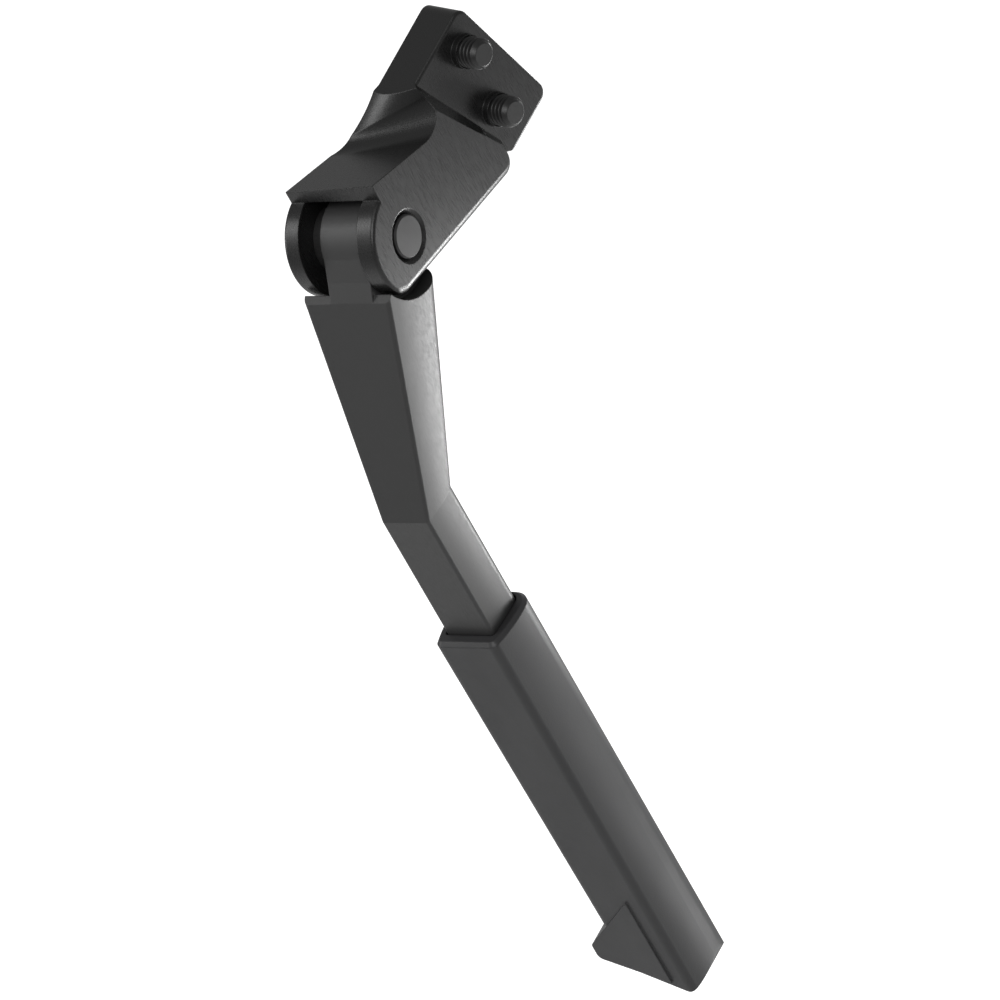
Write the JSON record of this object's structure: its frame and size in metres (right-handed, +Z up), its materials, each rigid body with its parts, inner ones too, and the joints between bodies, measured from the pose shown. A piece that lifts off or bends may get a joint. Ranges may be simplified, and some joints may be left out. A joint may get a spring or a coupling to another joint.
{
  "type": "bicycle kickstand",
  "caption": "Rear bicycle kickstand: a cast head with a slotted fork and threaded mounting studs, a folding tapered leg with a bend, and a moulded foot that slides to set the length.",
  "frame": {"origin": "on the mounting face, midway between the studs", "axes": "-Y along the studs towards the bicycle's frame, +Z up from the lower stud to the upper one and along the leg's bar, the fork and leg reach out towards -X"},
  "size_m": [0.1034, 0.0347, 0.2458],
  "materials": {
    "cast_head": "semi-gloss black coated casting, brushed on the flat sides",
    "cast_leg": "satin black coated casting",
    "black_steel": "black zinc",
    "pin_steel": "black coated, brushed on its end",
    "washer_nylon": "plain",
    "bush_bronze": "sintered",
    "spring_steel": "drawn wire",
    "foot_moulding": "fine matt grain"
  },
  "bodies": {
    "head": {"head": "cast_head", "mount_bolt_upper": "black_steel", "mount_bolt_lower": "black_steel", "lock_washer_upper": "black_steel", "lock_washer_lower": "black_steel", "pivot_pin": "pin_steel", "pin_circlip": "black_steel", "thrust_washer_near": "washer_nylon", "thrust_washer_far": "washer_nylon"},
    "leg": {"leg": "cast_leg", "bush_near": "bush_bronze", "bush_far": "bush_bronze", "detent_plunger": "black_steel", "detent_spring": "spring_steel", "foot_screw": "black_steel"},
    "foot": {"foot_sleeve": "foot_moulding"}
  },
  "joints": [
    {"name": "leg_fold", "type": "hinge", "parent": "head", "child": "leg", "pos_m": [-0.0481, 0.0012, -0.0079], "axis": [-0.2504, 0.9681, 0], "range_deg": [0, 90]},
    {"name": "foot_slide", "type": "slide", "parent": "leg", "child": "foot", "axis": [0, 0, -1], "range_m": [0, 0.03]}
  ]
}
